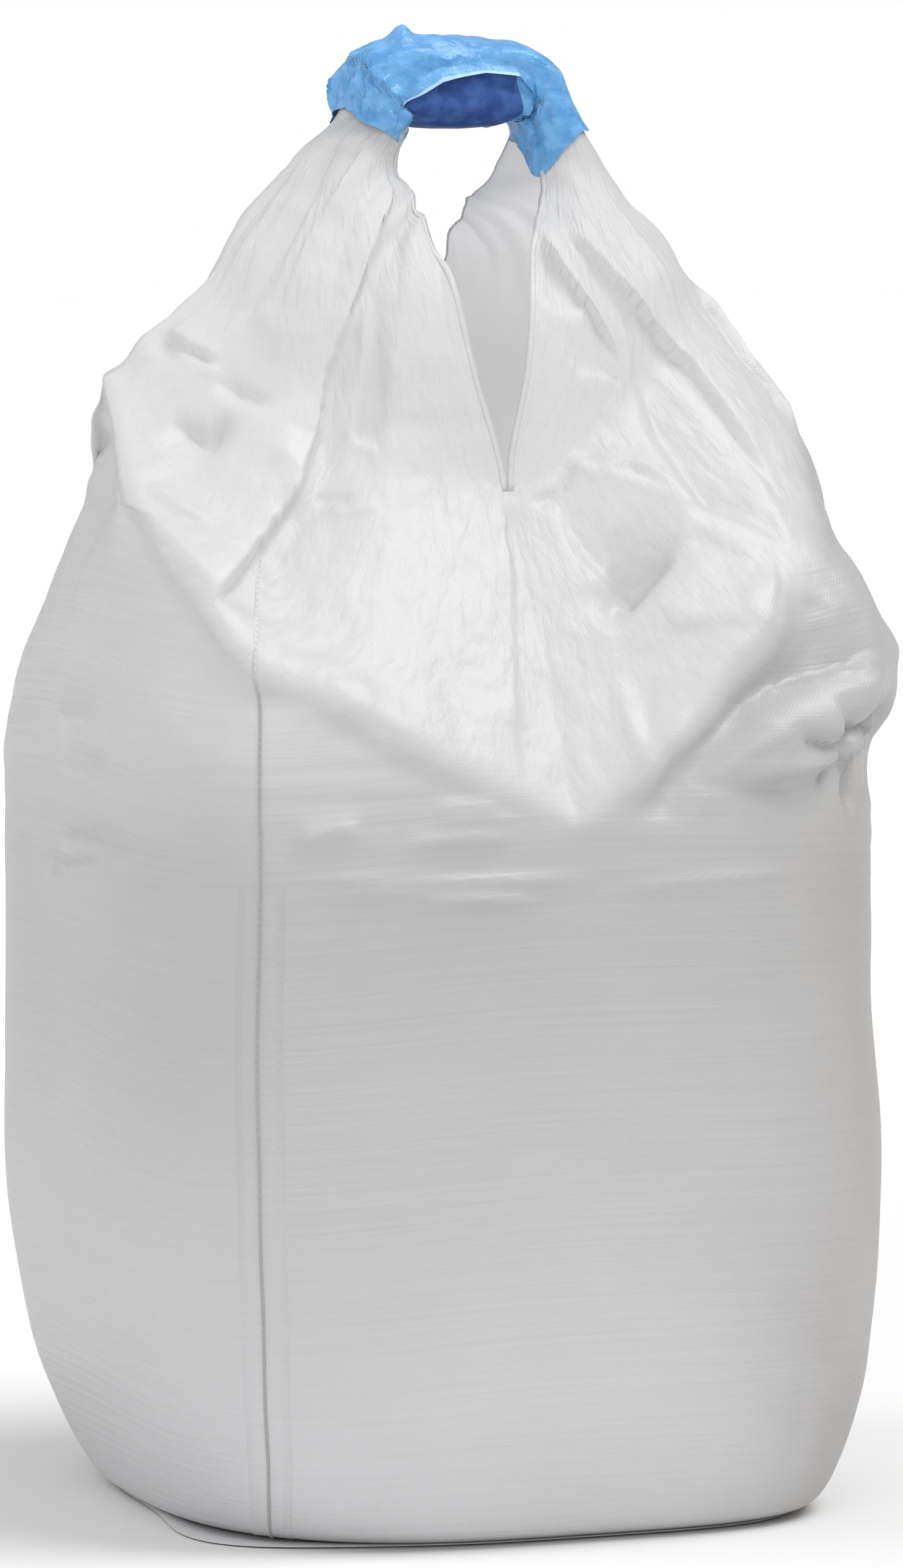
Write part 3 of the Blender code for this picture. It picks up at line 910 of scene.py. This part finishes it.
# Partly the sleeve's dark inside, partly painted shade under the loop
DARK_BLUE_INSIDE_AND_SHADE_TONES = (0.018, 0.058, 0.25, 1), (0.045, 0.12, 0.38, 1)
WOVEN = woven_material()
BLUES = [
    patched_fabric("blue_fabric", 0.36, (38, 38, 55), 0.38, 0.62, BLUE_TONES, 0.004),
    # Painted shade in part: the sleeve's under part, also its dark inside
    patched_fabric("dark_blue_inside_and_painted_shade", 0.8, (45, 45, 45), 0.35, 0.65, DARK_BLUE_INSIDE_AND_SHADE_TONES),
    # Painted highlight: a pale blue along the sleeve's turned-up outer edge
    Shader("pale_blue_edge", (0.38, 0.62, 0.86, 1), 0.5).material,
]
# Seam greys with painted shade on the filled body, like the cloth round them
GREY_SEAM = seam_grey("grey_seam", (0.39, 0.40, 0.395, 1), (0.66, 0.67, 0.665, 1))
GREY_THREAD = seam_grey("grey_thread", (0.35, 0.36, 0.355, 1), (0.60, 0.61, 0.605, 1))

bag = cloth.make("bag_cloth", WOVEN)
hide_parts("bag_fabric")

# Sleeve: a sheet wrapped round the loop, a little more than one turn, from left to right
WRAP = 0.002  # the under turn's distance from the gathered cloth
OVERLAP = math.radians(20)
SLEEVE_ROWS, SLEEVE_COLUMNS = 160, 132
FINE_SECTIONS = 600
SECTION_STEPS = 360
SECTION_ANGLES = np.linspace(-math.pi, math.pi, SECTION_STEPS + 1)
# Where round the loop the outer edge lies, in degrees, at shares of the way along the loop
EDGE_SHARES = [0, 0.11, 0.145, 0.24, 0.355, 0.53, 0.66, 0.715, 0.79, 1]
EDGE = [-175, -155, -114, -106, -91, -84, -87, -98, -168, -178]
# The sections at the sleeve's ends, and how far back from them (metres) it starts and ends
SLEEVE_ENDS = (2, 0.016), (9, 0.020)
# How much further the sleeve's ends reach to the right (metres) near angles (degrees) round
# the loop, which run from its outer side over its back
START_REACHES = [(0.006, -90, 40), (-0.012, 150, 50), (0.020, 0, 50)]
END_REACHES = [(0.035, -138, 30), (-0.010, 0, 60), (-0.024, 160, 55), (-0.012, -70, 35)]


def near(angle, middle, width):
    """1 at an angle round the loop, falling to 0 away from it. Angles are in degrees."""
    off = (np.degrees(angle) - middle + 180) % 360 - 180
    return np.exp(-((off / width) ** 2))


def leg_section(ring, side):
    """A leg's closed section at the sleeve's angles, straight across its open side."""
    t = np.clip(SECTION_ANGLES / FRONT_CORNER, -1, 1)
    points = half_section(ring, side, t)
    front, back = half_section(ring, side, np.array([-1.0, 1.0]))
    open_part = np.abs(SECTION_ANGLES) > FRONT_CORNER
    turned = np.where(SECTION_ANGLES < 0, SECTION_ANGLES + 2 * math.pi, SECTION_ANGLES)
    share = ((turned - FRONT_CORNER) / (2 * math.pi - 2 * FRONT_CORNER))[open_part, None]
    points[open_part] = back + (front - back) * share
    out = (points - points.mean(axis=0)) * (1, 1, 0)
    return points + WRAP * out / np.linalg.norm(out, axis=1, keepdims=True)


def sleeve_form(stations, turned):
    """The sleeve before it is crumpled, and its points' angles round the loop."""
    half = {side: [leg_section(LEGS[-1], side)] for side in (-1, 1)}
    for side, sections in half.items():
        sections += [loop_section(turn, side, SECTION_ANGLES, WRAP) for turn in LOOP]
    sections = np.array(half[-1][:-1] + half[1][::-1])
    at = section_places(sections)
    fine_at = np.linspace(0, at[-1], FINE_SECTIONS)
    fine = pchip(at, sections, fine_at)
    edge = np.radians(np.interp(stations, EDGE_SHARES, EDGE))
    angle = edge[:, None] + turned
    start, end = (at[section] - back for section, back in SLEEVE_ENDS)
    for reach, middle, width in START_REACHES:
        start = start + reach * near(angle, middle, width)
    for reach, middle, width in END_REACHES:
        end = end + reach * near(angle, middle, width)
    where = start + stations[:, None] * (end - start)
    i = np.clip(np.searchsorted(fine_at, where.ravel()) - 1, 0, FINE_SECTIONS - 2)
    u = ((where.ravel() - fine_at[i]) / (fine_at[1] - fine_at[0]))[:, None]
    column = ((angle + math.pi) % (2 * math.pi)).ravel() / (2 * math.pi) * SECTION_STEPS
    j = np.clip(column.astype(int), 0, SECTION_STEPS - 1)
    w = (column - j)[:, None]
    lower = fine[i, j] * (1 - w) + fine[i, j + 1] * w
    upper = fine[i + 1, j] * (1 - w) + fine[i + 1, j + 1] * w
    return lower * (1 - u) + upper * u - MIDDLE, angle.ravel()


def sleeve_piece():
    stations = np.linspace(0, 1, SLEEVE_ROWS)
    turned = np.linspace(0, 2 * math.pi + OVERLAP, SLEEVE_COLUMNS)
    points, angle = sleeve_form(stations, turned)
    quads = grid_faces(numbered(SLEEVE_ROWS, SLEEVE_COLUMNS))[:, [0, 3, 2, 1]]
    station = np.repeat(stations, SLEEVE_COLUMNS)
    turn_at = np.degrees(np.tile(turned, SLEEVE_ROWS))
    # The first part of the turn lies on top, and the rest under it
    over = 1 - smooth_step(turn_at, 225, 250)
    wrapped_ends = 1 - smooth_step(station, 0.10, 0.145) + smooth_step(station, 0.64, 0.70)
    over = np.clip(over + 0.8 * wrapped_ends * (1 - smooth_step(turn_at, 335, 355)), 0, 1)
    along_loop = np.stack([station * 2.6, np.sin(angle) * 1.5, np.cos(angle) * 1.5], axis=1)
    rise = 0.0045 * over + 0.011 * (billows(along_loop, 6) - 0.4) * (0.2 + 0.8 * over)
    # The under part stands out in the middle of the inner side, and the outer side is flatter
    middle = 1 - smooth_step(np.abs(station - 0.43), 0.20, 0.30)
    stands_out = 0.004 * middle * (1 - over) * smooth_step(-np.cos(angle), 0.0, 0.7)
    rise += stands_out - 0.005 * over * np.clip(np.cos(angle), 0, 1)
    # The edge is turned up a little, beside a shallow channel
    hem = turn_at < 2
    rise += 0.0015 * hem - 0.0035 * np.exp(-(((turn_at - 12) / 5) ** 2))
    # The left end is crumpled, and a pinched knob stands up beside it
    left_end = 1 - smooth_step(station, 0.06, 0.30)
    creases = billows(np.stack([station * 7, np.sin(angle) * 2.4, np.cos(angle) * 2.4], axis=1), 7)
    open_end = np.sin(np.clip(station / 0.10, 0, 1) * math.pi / 2)
    rise += left_end * (0.006 + 0.017 * (creases - 0.4)) * open_end
    knob = np.exp(-(((station - 0.246) / 0.021) ** 2)) * near(angle, -15, 20)
    rise = rise * (1 - 0.6 * smooth_step(station, 0.80, 1.0)) + 0.013 * knob
    # The inner edge is tucked in
    rise -= 0.006 * (1 - wrapped_ends) * smooth_step(turn_at, 340, 358)
    points = points + rise[:, None] * vertex_normals(points, quads)
    piece = make("loop_sleeve_wrap", points, quads.tolist(), *BLUES)
    # The under part is painted dark blue, partly its dark inside and partly painted shade under the
    # loop, and the outer edge pale, a painted highlight along its turned-up hem
    inside = (station > 0.12) & (station < 0.66)
    kind = np.where(hem & inside, 2, np.where((over < 0.5) & (turn_at > 200) & inside, 1, 0))
    kind = kind.reshape(SLEEVE_ROWS, SLEEVE_COLUMNS)[:-1, :-1].ravel()
    piece.data.polygons.foreach_set("material_index", kind)
    return piece


sleeve = sleeve_piece()
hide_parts("loop_sleeve")

# What is sewn on the cloth: hems along the slits, and a seam down the left of the front
GRID = cloth.points[cloth.index]
GRID_NORMALS = cloth.normals()[cloth.index]
LEFT_HALF = 1


def on_cloth(half, t, up):
    """Points and normals of the folded cloth at shares round a half and lengths up it."""
    rows, columns = cloth.index.shape[1:]
    column = np.clip(np.interp(t, T, np.arange(columns)), 0, columns - 1.001)
    out = []
    for table in (GRID, GRID_NORMALS):
        total = np.zeros((len(column), 3))
        for c, share in ((column.astype(int), 1 - column % 1), (column.astype(int) + 1, column % 1)):
            row = [np.interp(u, cloth.up[half][:, k], np.arange(rows)) for u, k in zip(up, c)]
            row = np.clip(np.array(row), 0, rows - 1.001)
            r, w = row.astype(int), (row % 1)[:, None]
            total += share[:, None] * (table[half, r, c] * (1 - w) + table[half, r + 1, c] * w)
        out.append(total)
    return out[0], unit(out[1])


def end_caps(first, last, around):
    """Faces that close a tube of rings, from the vertex number first up to last."""
    return [list(range(first, first + around))[::-1], list(range(last - around, last))]


SINKING = 0.08  # share of a strip's length over which it goes into the cloth
SUNK_DEPTH = 0.003


def sewn_strip(name, half, t, up, profile, material, sunk_from=1.0):
    """A closed strip up the cloth, whose profile has offsets (across, out) in metres.

    From a share of its length on it sinks into the cloth."""
    sunk = np.zeros(len(up))
    if sunk_from < 1:
        sunk = smooth_step(np.linspace(0, 1, len(up)), sunk_from - SINKING, sunk_from)
    here, _ = on_cloth(half, t, up)
    step = np.where(t > 0, -0.02, 0.02)
    aside, _ = on_cloth(half, t + step, up)
    per_metre = np.abs(step) / np.linalg.norm(aside - here, axis=1)
    lines = []
    for across, out in profile:
        points, normals = on_cloth(half, t + across * per_metre, up)
        lines.append(points + (out * (1 - sunk) - SUNK_DEPTH * sunk)[:, None] * normals)
    points = np.stack(lines, axis=1).reshape(-1, 3)
    around = len(profile)
    faces = grid_faces(numbered(len(up), around), around=True).tolist()
    faces += end_caps(0, len(points), around)
    thing = make(name, points, faces, material)
    places = [(across, one) for one in up for across, _ in profile]
    layer = thing.data.uv_layers.new(name="cloth")
    layer.data.foreach_set("uv", np.array([places[k] for face in faces for k in face]).ravel())
    ridge = np.interp(t, T, cloth.ridge[half])
    mark_hollow(thing.data, np.repeat(up - ridge, around), np.repeat(t, around))
    return thing


STITCH_LENGTH, STITCH_GAP = 0.0085, 0.0015
THREAD = 0.0008  # radius
THREAD_OUT = 0.0018  # above the cloth
STITCH_RINGS, THREAD_SIDES = 5, 6


def stitch(points, normals):
    """The rings of one thread, which comes up out of the cloth and goes down again."""
    run = points[-1] - points[0]
    run /= np.linalg.norm(run)
    bulge = np.sin(np.linspace(0, math.pi, STITCH_RINGS))
    for point, normal, wide in zip(points, normals, bulge):
        side = np.cross(run, normal)
        side /= np.linalg.norm(side)
        thick = THREAD * (0.35 + 0.65 * wide**0.5)
        for k in range(THREAD_SIDES):
            a = 2 * math.pi * k / THREAD_SIDES
            out = math.sin(a) * normal + math.cos(a) * side
            yield point + normal * THREAD * (1.2 * wide - 0.6) + thick * out


def read_along(at, along, table):
    return np.stack([np.interp(at, along, table[:, k]) for k in range(3)], axis=1)


def stitches(name, half, t, up, material):
    """A row of threads up the cloth."""
    points, normals = on_cloth(half, t, up)
    points += THREAD_OUT * normals
    along = running_length(points)
    verts, faces, all_at = [], [], []
    for start in np.arange(0, along[-1] - STITCH_LENGTH, STITCH_LENGTH + STITCH_GAP):
        at = start + np.linspace(0, STITCH_LENGTH, STITCH_RINGS)
        all_at.append(np.repeat(at, THREAD_SIDES))
        first = len(verts)
        verts += stitch(*(read_along(at, along, table) for table in (points, normals)))
        faces += (grid_faces(numbered(STITCH_RINGS, THREAD_SIDES), around=True) + first).tolist()
        faces += end_caps(first, len(verts), THREAD_SIDES)
    thing = make(name, verts, faces, material)
    above_ridge = up - np.interp(t, T, cloth.ridge[half])
    all_at = np.concatenate(all_at)
    mark_hollow(thing.data, np.interp(all_at, along, above_ridge), np.interp(all_at, along, t))
    return thing


HEM_PROFILE = [(0.0, 0.0006), (0.007, 0.0010), (0.008, 0.0), (0.007, -0.0010), (0.0, -0.0006)]
BACK_HEM = 0.4  # the back hems' width, as a share of the front ones'
HEM_ROWS = np.arange(SLIT_ROW, SLIT_ROW + ROWS_LEG + 4)


def slit_hem(half, side_name, edge, face_name):
    up = cloth.up[half][HEM_ROWS, 0 if edge < 0 else -1]
    wide = 1 if edge < 0 else BACK_HEM
    profile = [(-edge * across * wide, out) for across, out in HEM_PROFILE]
    name = f"slit_hem_{face_name}_{side_name}"
    return sewn_strip(name, half, np.full(len(up), float(edge)), up, profile, WOVEN)


pieces_on_bag = [
    slit_hem(half, side_name, edge, face_name)
    for half, side_name in ((0, "right"), (1, "left"))
    for edge, face_name in ((-1, "front"), (1, "back"))
]

# The seam: how far round the left half it runs, at lengths up the cloth
SEAM_UP = [0.010, 0.060, 0.110, 0.160, 0.210, 0.260, 0.360, 0.460, 0.660,
           0.860, 0.960, 1.060, 1.110, 1.160, 1.210, 1.250, 1.300]
SEAM_AT = [-0.461, -0.486, -0.505, -0.519, -0.528, -0.534, -0.542, -0.543, -0.537,
           -0.542, -0.543, -0.532, -0.518, -0.499, -0.480, -0.464, -0.449]
SEAM_FLAP = [(-0.031, -0.001), (-0.029, 0.0008), (0.026, 0.0008), (0.028, -0.001)]
SEAM_EDGE = [(-0.0024, -0.001), (-0.0018, 0.0016), (0.0018, 0.0016), (0.0024, -0.001)]
FLAP_END = 0.93
seam_up = np.linspace(SEAM_UP[0], SEAM_UP[-1], 200)
seam_at = pchip(np.array(SEAM_UP), np.array(SEAM_AT), seam_up)
low = seam_up < FLAP_END
pieces_on_bag += [
    sewn_strip("seam_flap", LEFT_HALF, seam_at[low], seam_up[low], SEAM_FLAP, WOVEN, sunk_from=0.98),
    sewn_strip("seam_edge", LEFT_HALF, seam_at, seam_up, SEAM_EDGE, GREY_SEAM),
    stitches("seam_stitches", LEFT_HALF, seam_at, seam_up, GREY_THREAD),
]

# Base panel: the sheet sewn under the bag, whose front left corner sticks out
BASE_RINGS = 14
BASE_TOP, BASE_THICK = 0.0016, 0.0010
HEM_OUT, CORNER_OUT = 0.005, 0.058
CORNER_BEARING, CORNER_WIDE = -145, 17  # in degrees
T_ROUND = np.linspace(-1, 1, 80, endpoint=False)


def whole_section(ring):
    """A section all round the bag."""
    halves = half_section(ring, 1, T_ROUND), half_section(ring, -1, -T_ROUND)
    return np.concatenate(halves) - MIDDLE


def base_piece():
    outline = whole_section(BODY[0])[:, :2]
    bearing = np.degrees(np.arctan2(outline[:, 1], outline[:, 0]))
    corner = np.exp(-(((bearing - CORNER_BEARING) / CORNER_WIDE) ** 2))
    out = unit(outline)
    rings = []
    for share in np.linspace(0, 1, BASE_RINGS) ** 0.7:
        hem = out * (HEM_OUT + CORNER_OUT * corner)[:, None] * smooth_step(share, 0.85, 1.0)
        lifted = 0.002 * smooth_step(share, 0.9, 1.0) * (1 - corner)
        height = BASE_TOP + lifted + 0.0012 * corner * share
        rings.append(np.column_stack([outline * share + hem, height]))
    rings.append(rings[-1] - [0, 0, BASE_THICK])
    faces = grid_faces(numbered(len(rings), len(outline)), around=True)[:, ::-1]
    return make("base_panel_sheet", np.concatenate(rings), faces.tolist(), WOVEN)


base_sheet = base_piece()
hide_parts("base_panel")

# Gravel: a heap with crushed stones on it, inside the bag
STONE_GAP = 0.012  # from the cloth
HEAP_TURNS = 16
HEAP_POWER = 3.5  # roundness of its outline
STONE_SPACING = 0.026
STONE_SHIFT = 0.008  # at random, to either side
STONE_SIZES = 0.026, 0.044
STONE_AXES = (0.8, 0.6, 0.5), (1.1, 0.9, 0.8)  # least and most, as shares of its size
STONE_LIFT = -0.004, 0.006  # at random
STONES_REACH = 0.93  # of the way to the walls
STONE_KINDS = 12
STONE_CORNERS = 13
STONE_COLOURS = {
    "mid": (0.36, 0.34, 0.31, 1),
    "pale": (0.50, 0.48, 0.44, 1),
    "dark": (0.22, 0.21, 0.20, 1),
}
generator = np.random.default_rng(7)


def gravel_wall(ring):
    reaches = [getattr(ring, name) - STONE_GAP for name in ("left", "right", "front", "back")]
    return whole_section(Ring(ring.middle_z, ring.side_z, *reaches, ring.powers, 0))


def heap_rings():
    """Sections of the heap from its underside to its top, which has a share of the last
    wall's outline at each turn."""
    walls = [gravel_wall(ring) for ring in BODY]
    walls[0][:, 2] += 0.004
    rings = [walls[0] * (share, share, 1) for share in (0.001, 0.5, 0.9)]
    rings += [a + (b - a) * s for a, b in zip(walls, walls[1:]) for s in (0, 1 / 3, 2 / 3)]
    top = walls[-1] - (0, 0, STONE_GAP)
    for share in np.linspace(1, 0.001, HEAP_TURNS):
        ring = top * (share, share, 1)
        ring[:, 2] += GRAVEL_RISE * (1 - share**2)
        rings.append(ring)
    return rings, np.abs(top[:, :2]).max(axis=0)


def stone_shape():
    """A broken stone's corners and faces, about 1 across."""
    corners = generator.normal(size=(STONE_CORNERS, 3))
    reach = 1 + 0.25 * generator.random((STONE_CORNERS, 1))
    corners *= reach / np.linalg.norm(corners, axis=1, keepdims=True)
    corners *= 0.5 * generator.uniform(*STONE_AXES)
    mesh = bmesh.new()
    for corner in corners:
        mesh.verts.new(corner)
    bmesh.ops.convex_hull(mesh, input=mesh.verts)
    for loose in [v for v in mesh.verts if not v.link_faces]:
        mesh.verts.remove(loose)
    mesh.verts.index_update()
    points = np.array([v.co for v in mesh.verts])
    faces = [[v.index for v in face.verts] for face in mesh.faces]
    mesh.free()
    return points, faces


def gravel_piece():
    rings, (half_width, half_depth) = heap_rings()
    shapes = [stone_shape() for _ in range(STONE_KINDS)]
    verts = [np.concatenate(rings)]
    faces = grid_faces(numbered(len(rings), len(rings[0])), around=True).tolist()
    kinds = [0] * len(faces)
    count = len(verts[0])
    for x in np.arange(-half_width, half_width, STONE_SPACING):
        for y in np.arange(-half_depth, half_depth, STONE_SPACING):
            x0 = x + generator.uniform(-STONE_SHIFT, STONE_SHIFT)
            y0 = y + generator.uniform(-STONE_SHIFT, STONE_SHIFT)
            share = abs(x0 / half_width) ** HEAP_POWER + abs(y0 / half_depth) ** HEAP_POWER
            share **= 1 / HEAP_POWER
            if share > STONES_REACH:
                continue
            shape, shape_faces = shapes[generator.integers(STONE_KINDS)]
            angle = generator.uniform(0, 6.28)
            turn = Matrix.Rotation(angle, 3, Vector(generator.normal(size=3)).normalized())
            size = generator.uniform(*STONE_SIZES)
            height = GRAVEL_EDGE_Z - STONE_GAP + GRAVEL_RISE * (1 - share**2)
            height += generator.uniform(*STONE_LIFT)
            verts.append(shape @ np.array(turn) * size + (x0, y0, height))
            faces += [[k + count for k in face] for face in shape_faces]
            kinds += [int(generator.integers(len(STONE_COLOURS)))] * len(shape_faces)
            count += len(shape)
    stones = [
        Shader(f"crushed_stone_{name}", colour, 0.9).material
        for name, colour in STONE_COLOURS.items()
    ]
    piece = make("gravel_heap", np.concatenate(verts), faces, *stones)
    piece.data.polygons.foreach_set("material_index", kinds)
    piece.data.shade_flat()
    return piece


gravel = gravel_piece()
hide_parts("gravel_fill")


# Floor, light and camera
def placed(name, data):
    thing = bpy.data.objects.new(name, data)
    bpy.context.scene.collection.objects.link(thing)
    return thing


FLOOR = 60
floor = bpy.data.meshes.new("floor")
corners = [(-FLOOR, -FLOOR, 0), (FLOOR, -FLOOR, 0), (FLOOR, FLOOR, 0), (-FLOOR, FLOOR, 0)]
floor.from_pydata(corners, [], [(0, 1, 2, 3)])
floor.materials.append(Shader("pale_floor", (0.80, 0.80, 0.80, 1), 0.9).material)
placed("floor", floor)

# The room is dim beside the softboxes, and darker and warmer low down on the right. The
# background shows white
ROOM = 0.55
ROOM_TONE, LOW_RIGHT_TONE = (1, 1, 1, 1), (0.40, 0.33, 0.28, 1)
LOW_RIGHT = (0.86, -0.20, -0.47)
world = bpy.data.worlds.new("studio")
world.use_nodes = True
sky = Nodes(world.node_tree)
ways = sky.node("TexCoord").outputs["Generated"]
toward_it = sky.node("VectorMath", {0: ways, 1: LOW_RIGHT}, operation="DOT_PRODUCT").outputs["Value"]
room = sky.tree.nodes["Background"]
room_tone = sky.mix(sky.fall(toward_it, 0.2, 0.8), ROOM_TONE, LOW_RIGHT_TONE)
sky.fill([room.inputs["Color"], room.inputs["Strength"]], [room_tone, ROOM])
white = sky.node("Background", {"Color": (1, 1, 1, 1), "Strength": 1.0}).outputs["Background"]
seen = sky.node("LightPath").outputs["Is Camera Ray"]
either = sky.node("MixShader", {"Fac": seen, 1: room.outputs["Background"], 2: white})
sky.tree.links.new(either.outputs["Shader"], sky.tree.nodes["World Output"].inputs["Surface"])
bpy.context.scene.world = world

AZIMUTH, PITCH = math.radians(-20), math.radians(-4.94)
DISTANCE, HEIGHT, ASIDE = 9.5, 1.70, 0.013
camera = bpy.data.cameras.new("camera")
camera.sensor_fit = "VERTICAL"
camera.sensor_height = 36
camera.lens = 177.0
camera_object = placed("camera", camera)
across = Vector((math.cos(AZIMUTH), math.sin(AZIMUTH), 0))
ahead = Vector((-math.sin(AZIMUTH), math.cos(AZIMUTH), 0))
camera_object.location = across * ASIDE - ahead * DISTANCE + Vector((0, -MIDDLE[1], HEIGHT))
camera_object.rotation_euler = (math.pi / 2 + PITCH, 0, AZIMUTH)
bpy.context.scene.camera = camera_object

# Softboxes: strength, elevation, and the way round from the camera, in degrees
SOFTBOX = math.radians(36)
LAMPS = {"high_right": (2.1, 59, 78), "left": (0.62, 45, -90), "low_front": (0.68, 18, -15)}
for name, (strength, *degrees) in LAMPS.items():
    lamp = bpy.data.lights.new(name, "SUN")
    lamp.energy = strength
    lamp.angle = SOFTBOX
    elevation, way_round = (math.radians(value) for value in degrees)
    level_way = across * math.sin(way_round) - ahead * math.cos(way_round)
    toward = level_way * math.cos(elevation) + Vector((0, 0, math.sin(elevation)))
    placed(name, lamp).rotation_euler = toward.to_track_quat("Z", "Y").to_euler()
bpy.context.scene.view_settings.view_transform = "Standard"
